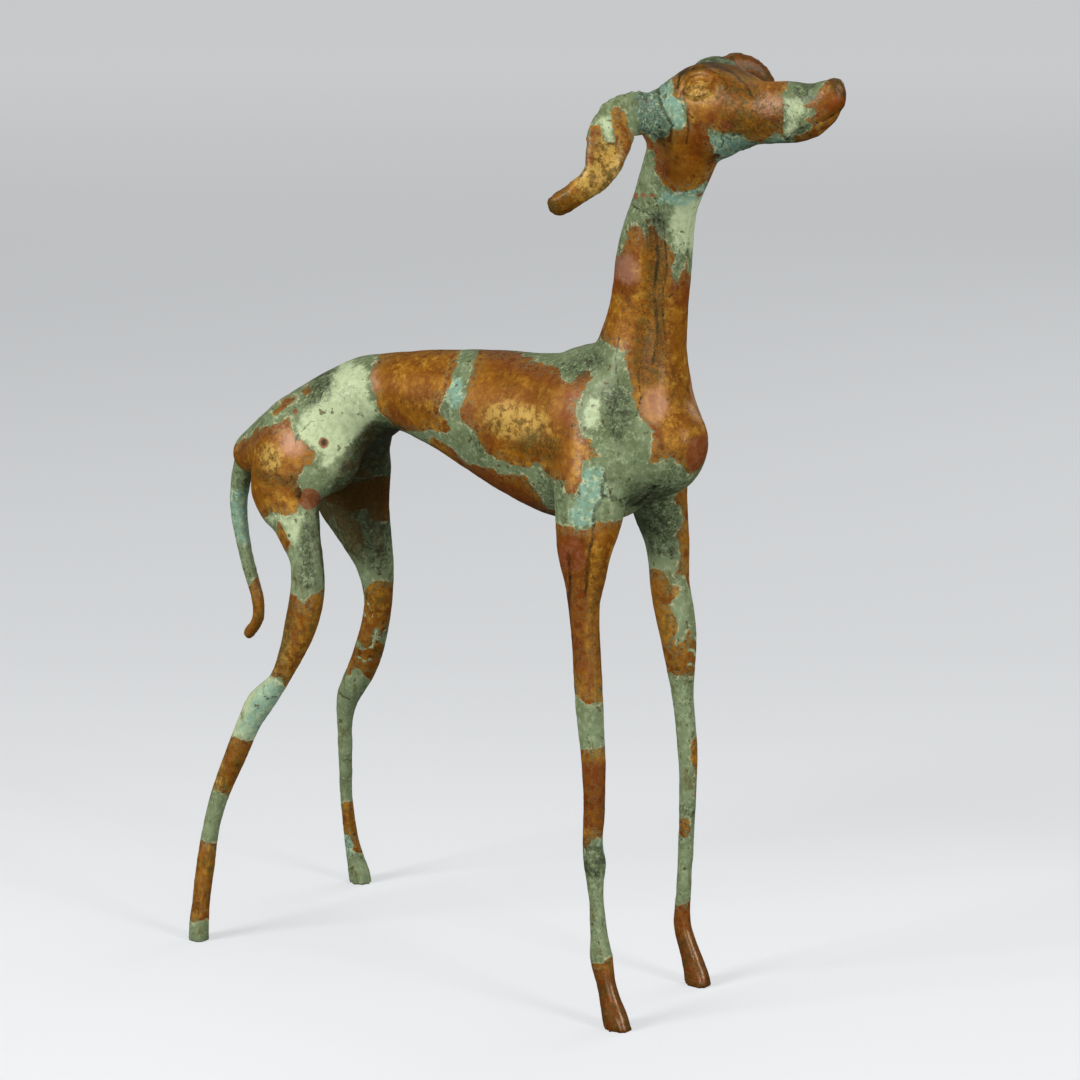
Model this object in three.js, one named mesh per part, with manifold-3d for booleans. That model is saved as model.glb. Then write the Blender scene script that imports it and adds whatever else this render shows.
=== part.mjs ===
// A standing greyhound, cast in bronze as one piece, with a raised head, flung-back ears,
// long thin legs and a hanging tail. +X is the way the dog faces, +Y is its left and +Z is up.
// The origin is on the ground, under the middle of the figure.

import * as THREE from 'three';
import { mergeVertices } from 'three/addons/utils/BufferGeometryUtils.js';
import Module from 'manifold-3d';

// Driving dimensions, in millimetres.
const HEIGHT = 900; // ground to the top of the raised left ear

// The pose and the girths are shares of the height, in thousandths of it.
const SHARE = HEIGHT / 1000;

// How finely each form is faceted.
const BODY_SIDES = 24;
const LIMB_SIDES = 12;
const CAP_RINGS = 2;

// One cross-section of a form: its centre, its half width across and its half depth.
const ring = (x, y, z, wide, deep) => ({
  at: new THREE.Vector3(x, y, z),
  size: new THREE.Vector3(wide, deep, 0),
});

// The rear of the body, the arched loin, the tucked waist and the deep ribcage, from back to front.
const TORSO = [
  ring(-270, 0, 530, 40, 28),
  ring(-235, 0, 540, 58, 44),
  ring(-195, 0, 555, 67, 53),
  ring(-150, 0, 585, 62, 50),
  ring(-110, 0, 608, 52, 47),
  ring(-72, 0, 620, 44, 42),
  ring(-11, 0, 619, 51, 53),
  ring(52, 0, 611, 60, 68),
  ring(115, 0, 601, 68, 81),
  ring(165, 0, 599, 72, 89),
  ring(198, 0, 609, 73, 92),
  ring(228, 0, 613, 70, 89),
  ring(256, 0, 612, 64, 71),
  ring(280, 0, 612, 54, 60),
  ring(295, 0, 614, 43, 48),
  ring(303, 0, 616, 30, 34),
];

// The neck rises almost straight out of the chest.
const NECK = [
  ring(236, 0, 600, 62, 60),
  ring(239, 0, 650, 58, 60),
  ring(244, 0, 692, 46, 50),
  ring(251, 0, 726, 38, 43),
  ring(256, 0, 760, 35, 41),
  ring(261, 0, 805, 35, 39),
  ring(273, 0, 852, 30, 34),
  ring(292, 0, 900, 29, 38),
  ring(308, 0, 936, 28, 36),
];

// The head, from the back of the skull to the nose.
const HEAD = [
  ring(268, 0, 935, 26, 31),
  ring(292, 0, 938, 33, 42),
  ring(325, 0, 945, 35, 50),
  ring(356, 0, 950, 32, 42),
  ring(385, 0, 949, 27, 31),
  ring(415, 0, 951, 22, 31),
  ring(445, 0, 956, 18, 27),
  ring(467, 0, 970, 14, 18),
];

// Each leg runs from inside the body to the sole.
const FRONT_RIGHT_LEG = [
  ring(204, -26, 668, 18, 26),
  ring(212, -42, 628, 31, 42),
  ring(220, -52, 585, 34, 47),
  ring(228, -66, 537, 31, 38),
  ring(228, -75, 500, 24, 30.5),
  ring(229, -76, 470, 17.5, 23.5),
  ring(229, -76, 444, 14.5, 17.5),
  ring(232, -76, 400, 13, 16),
  ring(237, -77, 335, 13.5, 15),
  ring(243, -78, 280, 12, 13),
  ring(244, -78, 225, 11.5, 11.5),
  ring(242, -78, 190, 10.5, 11),
  ring(245, -78, 172, 12, 12),
  ring(246, -79, 150, 8.5, 9),
  ring(249, -79, 120, 8, 8.5),
  ring(252, -79, 92, 9, 10),
  ring(254, -79, 72, 11.5, 13.5),
  ring(261, -80, 48, 10, 10.5),
  ring(267, -80, 28, 10.5, 12),
  ring(274, -81, 11, 12.5, 15),
  ring(279, -82, -6, 13, 16),
];

const FRONT_LEFT_LEG = [
  ring(204, 26, 668, 18, 26),
  ring(210, 42, 628, 31, 42),
  ring(216, 52, 585, 34, 47),
  ring(220, 68, 524, 26, 33),
  ring(226, 76, 478, 20.5, 25),
  ring(228, 76, 440, 19, 22.5),
  ring(237, 76, 398, 18, 22.5),
  ring(243, 76, 360, 15, 18),
  ring(246, 77, 318, 11, 12.5),
  ring(252, 78, 260, 10.5, 11.5),
  ring(253, 78, 205, 8.5, 9.5),
  ring(250, 79, 150, 8.5, 9),
  ring(248, 79, 100, 8, 8.5),
  ring(245, 80, 66, 9, 10.5),
  ring(252, 80, 44, 10, 11),
  ring(260, 80, 24, 10.5, 12.5),
  ring(266, 79, 9, 12, 15),
  ring(269, 79, -6, 13, 15.5),
];

const HIND_RIGHT_LEG = [
  ring(-140, -18, 598, 18, 44),
  ring(-148, -32, 580, 27, 58),
  ring(-160, -46, 558, 33, 68),
  ring(-173, -56, 535, 32, 59),
  ring(-181, -64, 505, 27, 47),
  ring(-164, -68, 484, 23, 34),
  ring(-154, -72, 461, 19, 26),
  ring(-142, -76, 438, 17, 19),
  ring(-138, -80, 406, 17, 20),
  ring(-142, -84, 373, 16.5, 19.5),
  ring(-153, -89, 338, 13, 15),
  ring(-169, -94, 303, 10.5, 11.5),
  ring(-192, -99, 276, 13.5, 16),
  ring(-206, -103, 250, 11.5, 13.5),
  ring(-222, -107, 212, 11.5, 12.5),
  ring(-241, -113, 165, 10, 10.5),
  ring(-250, -119, 125, 9.5, 10),
  ring(-254, -125, 82, 10, 10.5),
  ring(-257, -130, 40, 10, 10.5),
  ring(-258, -133, 12, 11, 12),
  ring(-258, -134, -6, 11, 12),
];

const HIND_LEFT_LEG = [
  ring(-140, 18, 598, 18, 44),
  ring(-158, 34, 580, 27, 54),
  ring(-184, 48, 550, 33, 58),
  ring(-196, 58, 512, 31, 60),
  ring(-194, 63, 478, 28, 52),
  ring(-186, 67, 452, 25, 42),
  ring(-177, 69, 428, 22, 32),
  ring(-170, 73, 400, 18, 24),
  ring(-173, 82, 352, 14.5, 17),
  ring(-189, 88, 305, 14.5, 18),
  ring(-210, 93, 265, 14, 17),
  ring(-232, 98, 234, 12, 14.5),
  ring(-242, 103, 203, 9, 10),
  ring(-245, 107, 165, 8, 8.5),
  ring(-250, 113, 115, 7.5, 8),
  ring(-251, 121, 62, 7.5, 8.5),
  ring(-249, 126, 32, 9.5, 10.5),
  ring(-245, 129, 11, 12, 13.5),
  ring(-243, 130, -6, 13, 14),
];

const TAIL = [
  ring(-240, 0, 546, 14, 18),
  ring(-264, 0, 543, 12, 14),
  ring(-287, 0, 536, 11, 14),
  ring(-300, 0, 500, 10.5, 13),
  ring(-306, 0, 465, 9.5, 11.5),
  ring(-302, 0, 430, 8.5, 9),
  ring(-293, 0, 395, 8, 8.5),
  ring(-280, 0, 362, 7, 8),
  ring(-280, 0, 336, 6, 7),
  ring(-295, 0, 317, 6, 6),
];

// The ears are thick leaves; their depth is measured across the leaf.
const RIGHT_EAR = [
  ring(292, -14, 943, 20, 8),
  ring(273, -45, 945, 24, 7),
  ring(267, -72, 940, 25, 8),
  ring(268, -90, 921, 25, 8),
  ring(269, -100, 901, 21, 8),
  ring(264, -108, 885, 16, 8),
  ring(250, -115, 873, 13, 10),
  ring(235, -121, 861, 12, 10),
  ring(227, -123, 857, 11, 8),
];

const LEFT_EAR = [
  ring(296, 14, 946, 20, 8),
  ring(302, 42, 965, 25, 8),
  ring(310, 68, 973, 27, 8),
  ring(319, 86, 964, 25, 8),
  ring(322, 97, 941, 21, 8),
  ring(315, 105, 924, 17, 8),
  ring(299, 111, 911, 14, 8),
  ring(282, 116, 903, 12, 9),
];

// Muscles and features that swell out of the main forms: centre, radii and pitch in degrees.
const SWELLINGS = [
  [334, -17, 980, 27, 13, 15, 4], // right brow
  [334, 17, 980, 27, 13, 15, 4], // left brow
  [322, 20, 981, 30, 17, 17.5, 6], // crown beside the left brow
  [332, -29, 969, 13, 6, 6.5, 8], // right eye
  [332, 29, 969, 13, 6, 6.5, 8], // left eye
  [471, 0, 977, 11, 10.5, 12, 0], // nose
];

const LEFT = new THREE.Vector3(0, 1, 0);
const EAR_ACROSS = new THREE.Vector3(-0.6, 0.8, 0);

// A closed form through its cross-sections. `across` is the direction that the width is
// measured in, or that the leaf of an ear faces when `leaf` is set. `blunt` flattens the far end.
function sweep(rings, { sides = LIMB_SIDES, steps = 2, across = LEFT, leaf = false, blunt = 1 } = {}) {
  const path = new THREE.CatmullRomCurve3(rings.map((r) => r.at), false, 'catmullrom', 0.5);
  const girth = new THREE.CatmullRomCurve3(rings.map((r) => r.size), false, 'catmullrom', 0.5);
  const count = (rings.length - 1) * steps;
  const sections = [];
  for (let i = 0; i <= count; i++) {
    const t = i / count;
    sections.push({ at: path.getPoint(t), along: path.getTangent(t), size: girth.getPoint(t) });
  }
  const capped = [...roundEnd(sections[0], -1).reverse(), ...sections, ...roundEnd(sections[count], blunt)];

  const points = [];
  for (const { at, along, size } of capped) {
    const side = across.clone().addScaledVector(along, -across.dot(along)).normalize();
    const front = new THREE.Vector3().crossVectors(along, side);
    const [u, v] = leaf ? [front, side] : [side, front];
    for (let k = 0; k < sides; k++) {
      const turn = (2 * Math.PI * k) / sides;
      const point = at.clone();
      point.addScaledVector(u, size.x * Math.cos(turn));
      point.addScaledVector(v, size.y * Math.sin(turn));
      points.push(point);
    }
  }
  const first = points.length;
  const start = capped[0];
  const end = capped[capped.length - 1];
  points.push(start.at.clone(), end.at.clone());

  const faces = [];
  const index = (row, k) => row * sides + (k % sides);
  for (let row = 0; row < capped.length - 1; row++) {
    for (let k = 0; k < sides; k++) {
      const [a, b, c, d] = [index(row, k), index(row, k + 1), index(row + 1, k + 1), index(row + 1, k)];
      faces.push(a, b, c, a, c, d);
    }
  }
  for (let k = 0; k < sides; k++) {
    faces.push(first, index(0, k + 1), index(0, k));
    faces.push(first + 1, index(capped.length - 1, k), index(capped.length - 1, k + 1));
  }
  if (leaf) faces.reverse();
  const geometry = new THREE.BufferGeometry().setFromPoints(points);
  geometry.setIndex(faces);
  return geometry;
}

// The sections that round an end off, going outwards. `bulge` is how far they stand out, as a
// share of the end's girth, and is negative at the start of a path.
function roundEnd(section, bulge) {
  const reach = bulge * Math.min(section.size.x, section.size.y);
  const made = [];
  for (let i = 1; i <= CAP_RINGS; i++) {
    const turn = (Math.PI / 2) * (i / (CAP_RINGS + 0.6));
    made.push({
      at: section.at.clone().addScaledVector(section.along, reach * Math.sin(turn)),
      along: section.along,
      size: section.size.clone().multiplyScalar(Math.cos(turn)),
    });
  }
  return made;
}

// An egg-shaped swelling, pitched nose down by `pitch` degrees.
function swelling([x, y, z, long, wide, tall, pitch]) {
  const geometry = new THREE.SphereGeometry(1, 14, 10);
  geometry.rotateX(Math.PI / 2);
  geometry.scale(long, wide, tall);
  geometry.rotateY(THREE.MathUtils.degToRad(pitch));
  geometry.translate(x, y, z);
  return geometry;
}

const wasm = await Module();
wasm.setup();

function solid(geometry) {
  const bare = geometry.clone();
  bare.deleteAttribute('normal');
  bare.deleteAttribute('uv');
  bare.scale(SHARE, SHARE, SHARE);
  const merged = mergeVertices(bare, 1e-3);
  return new wasm.Manifold(new wasm.Mesh({
    numProp: 3,
    vertProperties: new Float32Array(merged.attributes.position.array),
    triVerts: new Uint32Array(merged.index.array),
  }));
}

const forms = [
  sweep(TORSO, { sides: BODY_SIDES, blunt: 0.5 }),
  sweep(NECK, { sides: BODY_SIDES }),
  sweep(HEAD, { sides: BODY_SIDES }),
  sweep(FRONT_RIGHT_LEG),
  sweep(FRONT_LEFT_LEG),
  sweep(HIND_RIGHT_LEG),
  sweep(HIND_LEFT_LEG),
  sweep(TAIL, { sides: 10 }),
  sweep(RIGHT_EAR, { across: EAR_ACROSS, leaf: true }),
  sweep(LEFT_EAR, { across: EAR_ACROSS, leaf: true }),
  ...SWELLINGS.map(swelling),
];

let figure = solid(forms[0]);
for (const form of forms.slice(1)) figure = figure.add(solid(form));

// The paws are cut off flat at the ground.
const ground = new THREE.BoxGeometry(HEIGHT * 2, HEIGHT * 2, HEIGHT);
ground.translate(0, 0, -HEIGHT / 2);
ground.scale(1 / SHARE, 1 / SHARE, 1 / SHARE);
figure = figure.subtract(solid(ground));

const cut = figure.getMesh();
const geometry = new THREE.BufferGeometry();
geometry.setAttribute('position', new THREE.BufferAttribute(new Float32Array(cut.vertProperties), 3));
geometry.setIndex(new THREE.BufferAttribute(new Uint32Array(cut.triVerts), 1));
geometry.computeBoundingBox();
const middle = geometry.boundingBox.getCenter(new THREE.Vector3());
geometry.translate(-middle.x, -middle.y, 0);
geometry.computeVertexNormals();

const bronze = new THREE.MeshStandardMaterial({ color: 0x7f6a3c, roughness: 0.5, metalness: 0.6 });
const greyhound = new THREE.Mesh(geometry, bronze);
greyhound.name = 'greyhound';

const sculpture = new THREE.Group();
sculpture.add(greyhound);

export default sculpture;
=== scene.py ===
import math

import bmesh
import bpy
import numpy as np
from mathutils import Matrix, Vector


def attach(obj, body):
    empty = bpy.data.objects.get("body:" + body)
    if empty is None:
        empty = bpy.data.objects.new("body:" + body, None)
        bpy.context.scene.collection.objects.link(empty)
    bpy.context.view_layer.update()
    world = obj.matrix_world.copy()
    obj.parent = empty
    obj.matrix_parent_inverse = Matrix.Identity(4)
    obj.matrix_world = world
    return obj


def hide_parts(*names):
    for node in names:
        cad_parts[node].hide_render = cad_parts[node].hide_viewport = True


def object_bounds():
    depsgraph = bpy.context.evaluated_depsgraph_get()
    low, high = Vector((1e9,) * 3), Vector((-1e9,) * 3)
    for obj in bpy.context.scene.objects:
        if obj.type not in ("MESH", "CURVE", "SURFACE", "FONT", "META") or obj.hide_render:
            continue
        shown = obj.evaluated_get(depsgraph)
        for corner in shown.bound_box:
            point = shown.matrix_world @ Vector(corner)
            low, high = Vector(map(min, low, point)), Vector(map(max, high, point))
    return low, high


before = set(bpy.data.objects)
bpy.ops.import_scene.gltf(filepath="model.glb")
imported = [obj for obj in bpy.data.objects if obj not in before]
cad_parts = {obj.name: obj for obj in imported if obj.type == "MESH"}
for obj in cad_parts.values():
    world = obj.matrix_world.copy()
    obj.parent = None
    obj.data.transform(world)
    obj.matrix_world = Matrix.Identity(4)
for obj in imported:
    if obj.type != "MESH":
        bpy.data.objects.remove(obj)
lo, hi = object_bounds()
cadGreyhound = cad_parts["greyhound"]
print("frame loaded", [round(v, 4) for v in hi - lo])

# the bronze figure: its surface is modelled from the solid

figureLook = {
    "height": 0.9,  # metres, the same as the solid
    "middle": (0.074257, -0.001038),  # where the traced frame's middle lies, metres
    "voxel": 0.00335,  # spacing of the new surface, metres
    "fineAbove": 775,  # the neck and head above this are twice as fine, thousandths of the height
    "lumps": 0.00055,  # depth of the soft hand-made unevenness, metres
    "pits": 0.00018,  # depth of the cast grain
    "quarterView": 37,  # degrees, the side that the patina outlines are drawn from
    "eyeMiddle": (332, 969),  # X and Z, thousandths
    "eyeHalf": (15.5, 5.2),
    "eyePitch": 6,  # degrees, front corner up
    "lidHeight": 0.0010,  # metres
    "browHeight": 0.0006,
    "mouthDepth": 0.0014,
    "creaseDepth": 0.0009,
    "tipLumps": 0.0016,
    "softLimbs": 7,  # rounds of softening everywhere
    "softTrunk": 48,  # more on the trunk, then on the rump and the flanks
    "softRump": 150,
    "softFlank": 90,
    "edge": 0.0001,  # the surface stays this far inside the solid's box, metres
}
perShare = figureLook["height"] / 1000
turn = math.radians(figureLook["quarterView"])


def lumpNoise(points, size, seed):  # smooth random values, -1 to 1, one lump per size
    cell = points / size + seed * 7.31
    base = np.floor(cell).astype(np.int64)
    part = cell - base
    ease = part * part * (3 - 2 * part)
    total = np.zeros(len(points))
    for dx in (0, 1):
        for dy in (0, 1):
            for dz in (0, 1):
                key = (base[:, 0] + dx) * 73856093 ^ (base[:, 1] + dy) * 19349663
                key = key ^ (base[:, 2] + dz) * 83492791
                key = (key ^ (key >> 13)) * 1274126177 + seed * 977
                value = ((key ^ (key >> 16)) & 65535) / 32767.5 - 1
                share = np.where(dx, ease[:, 0], 1 - ease[:, 0]) * np.where(dy, ease[:, 1], 1 - ease[:, 1])
                total += value * share * np.where(dz, ease[:, 2], 1 - ease[:, 2])
    return total


def edgePairs(mesh):
    pairs = np.empty(len(mesh.edges) * 2, np.int32)
    mesh.edges.foreach_get("vertices", pairs)
    return pairs.reshape(-1, 2)


def readPoints(mesh):
    points = np.empty(len(mesh.vertices) * 3)
    mesh.vertices.foreach_get("co", points)
    return points.reshape(-1, 3)


def writePoints(mesh, points):
    mesh.vertices.foreach_set("co", points.astype(np.float32).ravel())
    mesh.update()


def readNormals(mesh):
    normals = np.empty(len(mesh.vertices) * 3)
    mesh.vertices.foreach_get("normal", normals)
    return normals.reshape(-1, 3)


class Neighbours:  # averages over a mesh's edges
    def __init__(self, mesh):
        self.count = len(mesh.vertices)
        pairs = edgePairs(mesh)
        self.here = np.concatenate([pairs[:, 0], pairs[:, 1]])
        self.there = np.concatenate([pairs[:, 1], pairs[:, 0]])
        self.share = 1 / np.maximum(np.bincount(self.here, minlength=self.count), 1)

    def average(self, values):
        if values.ndim == 1:
            return np.bincount(self.here, values[self.there], self.count) * self.share
        return np.stack([self.average(values[:, k]) for k in range(values.shape[1])], 1)

    def smooth(self, values, rounds):
        for _ in range(rounds):
            values = (values + self.average(values)) / 2
        return values


def ramp(value, start, end):
    part = np.clip((value - start) / (end - start), 0, 1)
    return part * part * (3 - 2 * part)


def fade(distance, width):  # 1 at no distance, about a third at the width
    return np.exp(-(distance / width) ** 2)


def closeTo(shares, centre, size):  # 1 at the centre, fading out over the size
    return fade(np.linalg.norm(shares - centre, axis=1), size)


def toShares(points):  # metres in the part's frame to thousandths of the height in the traced frame
    shares = points.copy()
    shares[:, :2] += figureLook["middle"]
    return shares / perShare


def remeshedCopy(source, voxel):
    copy = bpy.data.objects.new("bronzeGreyhound", source.data.copy())
    bpy.context.scene.collection.objects.link(copy)
    remesh = copy.modifiers.new("evenSurface", "REMESH")
    remesh.mode, remesh.voxel_size, remesh.adaptivity = "VOXEL", voxel, 0
    seen = copy.evaluated_get(bpy.context.evaluated_depsgraph_get())
    mesh = bpy.data.meshes.new_from_object(seen)
    copy.modifiers.clear()
    copy.data = mesh
    mesh.name = "bronzeGreyhound"
    return copy


def refine(mesh, wanted):  # splits every edge between wanted vertices
    work = bmesh.new()
    work.from_mesh(mesh)
    edges = [edge for edge in work.edges if all(wanted[corner.index] for corner in edge.verts)]
    bmesh.ops.subdivide_edges(work, edges=edges, cuts=1, use_grid_fill=True)
    work.to_mesh(mesh)
    work.free()


def softened(mesh, points, passes):  # rounds facets and joints off and keeps the girth
    near = Neighbours(mesh)
    soft = points.copy()
    most = int(passes.max())
    for k in range(most):
        share = np.clip(passes - k, 0, 1) * 0.5
        soft += (near.average(soft) - soft) * share[:, None]
    writePoints(mesh, soft)
    normals = readNormals(mesh)
    lost = ((points - soft) * normals).sum(1)
    return soft + normals * near.smooth(lost, 40)[:, None]


def outlineDepth(across, up, outline):  # distance inside an outline, negative outside
    best = np.full(len(across), 1e9)
    inside = np.zeros(len(across), bool)
    corners = list(outline)
    for (ax, ay), (bx, by) in zip(corners, corners[1:] + corners[:1]):
        dx, dy = bx - ax, by - ay
        along = np.clip(((across - ax) * dx + (up - ay) * dy) / max(dx * dx + dy * dy, 1e-9), 0, 1)
        best = np.minimum(best, np.hypot(across - ax - along * dx, up - ay - along * dy))
        if dy:
            crossing = (ay > up) != (by > up)
            inside ^= crossing & (across < ax + dx * (up - ay) / dy)
    return np.where(inside, best, -best)


def strokeDistance(across, up, path):  # distance from a drawn line
    best = np.full(len(across), 1e9)
    for (ax, ay), (bx, by) in zip(path, path[1:]):
        dx, dy = bx - ax, by - ay
        along = np.clip(((across - ax) * dx + (up - ay) * dy) / (dx * dx + dy * dy), 0, 1)
        best = np.minimum(best, np.hypot(across - ax - along * dx, up - ay - along * dy))
    return best


def softeningPasses(mesh, shares):  # many on the body, few on the thin limbs, the face and the paws
    x, y, z = shares.T
    trunk = ramp(z, 470, 560) * (1 - ramp(z, 860, 920)) * ramp(55 - np.abs(y) * (z > 830), 0, 30)
    oneSide = np.stack([x, np.abs(y) * 1.1, z], 1)
    passes = figureLook["softLimbs"] + figureLook["softTrunk"] * trunk
    passes += figureLook["softRump"] * closeTo(oneSide, (-205, 41.8, 525), 62)
    passes += figureLook["softFlank"] * closeTo(oneSide, (-95, 49.5, 535), 48)
    tail = (x < -252) & (np.abs(y) < 20) & (z < 505)
    passes = np.where(tail, figureLook["softLimbs"], passes)
    return Neighbours(mesh).smooth(passes, 12) * ramp(z, 1, 7)  # the soles stay flat


greyhound = remeshedCopy(cadGreyhound, figureLook["voxel"])
bronzeMesh = greyhound.data
points = readPoints(bronzeMesh)
shares = toShares(points)
print("even surface", len(bronzeMesh.vertices))

points = softened(bronzeMesh, points, softeningPasses(bronzeMesh, shares))
writePoints(bronzeMesh, points)

refine(bronzeMesh, toShares(points)[:, 2] > figureLook["fineAbove"])
points = readPoints(bronzeMesh)
near = Neighbours(bronzeMesh)
fine = ramp(toShares(points)[:, 2], figureLook["fineAbove"] - 4, figureLook["fineAbove"] + 4)
for amount in (0.5, -0.52, 0.5, -0.52):  # smooths the new points without shrinking the form
    points += (near.average(points) - points) * (fine * amount)[:, None]
writePoints(bronzeMesh, points)
print("softened and refined", len(bronzeMesh.vertices))

# carving: the mouth and the brows are drawn in X and Z, seen from the side

mouthLine = [(421, 925), (430, 931), (437, 936), (446, 940), (455, 943), (468, 949), (480, 960), (492, 966)]
browLines = [
    [(309, 962), (310, 974), (318, 984), (336, 989), (350, 984), (360, 974)],
    [(316, 968), (322, 979), (334, 983), (346, 980)],
]
earTipPlace = (232, -122, 860)
tailTipPlace = (-292, 0, 318)  # X, Y and Z
noseTipPlace = (480, 0, 983)
creases = [  # drawn on the quarter view: path, half width in thousandths
    ([(157, 583), (154, 559), (146, 546), (146, 521), (141, 503), (139, 470), (137, 455)], 2.4),
    ([(186, 537), (197, 548), (208, 568)], 3.0),
    ([(157, 581), (164, 576), (173, 578)], 1.6),
    ([(156, 573), (164, 568), (162, 563), (173, 556), (179, 556)], 1.6),
    ([(156, 563), (168, 558), (164, 554)], 1.6),
    ([(186, 848), (205, 841)], 1.4),
    ([(205, 861), (210, 852), (210, 842), (209, 830)], 1.0),
    ([(236, 950), (238, 931), (236, 915)], 1.3),
    ([(209, 968), (210, 959), (215, 945), (222, 933), (220, 917)], 2.0),
    ([(269, 924), (272, 921), (270, 914)], 1.0),
]


def quarterAcross(shares):  # the trunk is drawn once and shared by both sides
    return shares[:, 0] * math.cos(turn) - np.abs(shares[:, 1]) * math.sin(turn)


def trueAcross(shares):
    return shares[:, 0] * math.cos(turn) + shares[:, 1] * math.sin(turn)


def softLimit(values, low, high, band=0.006):  # eases the outermost millimetres inside the solid's box
    for side, limit in ((1, high), (-1, -low)):
        most, start = (values * side).max(), limit - band
        if most > limit:
            over = values * side > start
            values[over] = side * (start + (values[over] * side - start) * band / (most - start))
    return values


def eyeShape(x, z):  # height above the eye's middle line, half opening there, distance from the lid
    pitch = math.radians(figureLook["eyePitch"])
    ex, ez = x - figureLook["eyeMiddle"][0], z - figureLook["eyeMiddle"][1]
    along = ex * math.cos(pitch) + ez * math.sin(pitch)
    tall = -ex * math.sin(pitch) + ez * math.cos(pitch)
    halfLong, halfTall = figureLook["eyeHalf"]
    almond = np.clip(1 - (along / halfLong) ** 2, 0, 1) ** 0.8 * halfTall
    return tall, almond, np.hypot(np.maximum(np.abs(along) - halfLong, 0), np.abs(np.abs(tall) - almond))


def carve(mesh, points):
    shares = toShares(points)
    x, y, z = shares.T
    nearSide = 1 - ramp(y, 2, 14)
    push = np.zeros(len(points))
    head = ramp(z, 880, 900) * (np.abs(y) < 60) * ramp(x, 255, 275)
    tall, almond, rim = eyeShape(x, z)
    side = ramp(np.abs(y), 16, 22)
    push += figureLook["lidHeight"] * fade(rim, 1.6) * side * head
    push -= 0.0007 * fade(rim - 3.8, 1.8) * (np.abs(tall) > almond) * side * head
    for line in browLines:
        push += figureLook["browHeight"] * fade(strokeDistance(x, z, line), 2.0) * side * head
    mouth = strokeDistance(x, z, mouthLine)
    push -= figureLook["mouthDepth"] * fade(mouth, 1.4) * ramp(x, 415, 440) * (z > 900)
    nostril = np.hypot(x - 481, np.hypot(np.abs(y) - 5.5, z - 979))
    push -= 0.0016 * fade(nostril, 2.6)
    across = quarterAcross(shares)
    for path, width in creases:
        push -= figureLook["creaseDepth"] * fade(strokeDistance(across, z, path), width) * nearSide
    normals = readNormals(mesh)
    lumpy = lumpNoise(shares, 34, 3) + 0.5 * lumpNoise(shares, 17, 5)
    push += figureLook["lumps"] * lumpy * ramp(z, 4, 16)
    push += figureLook["pits"] * lumpNoise(shares, 4.5, 9) * ramp(z, 4, 16)
    tips = closeTo(shares, earTipPlace, 22) + 0.7 * closeTo(shares, tailTipPlace, 16)
    push += figureLook["tipLumps"] * tips * lumpNoise(shares, 7, 21)
    return points + normals * push[:, None]


points = carve(bronzeMesh, points)
for k in range(3):
    points[:, k] = softLimit(points[:, k], lo[k] + figureLook["edge"], hi[k] - figureLook["edge"])
points[points[:, 2] < 0.0012, 2] = 0.0  # flat soles
writePoints(bronzeMesh, points)
print("carved", len(bronzeMesh.vertices), "vertices")

# patina, drawn as outlines on the quarter view: across and up, in thousandths of the height

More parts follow.
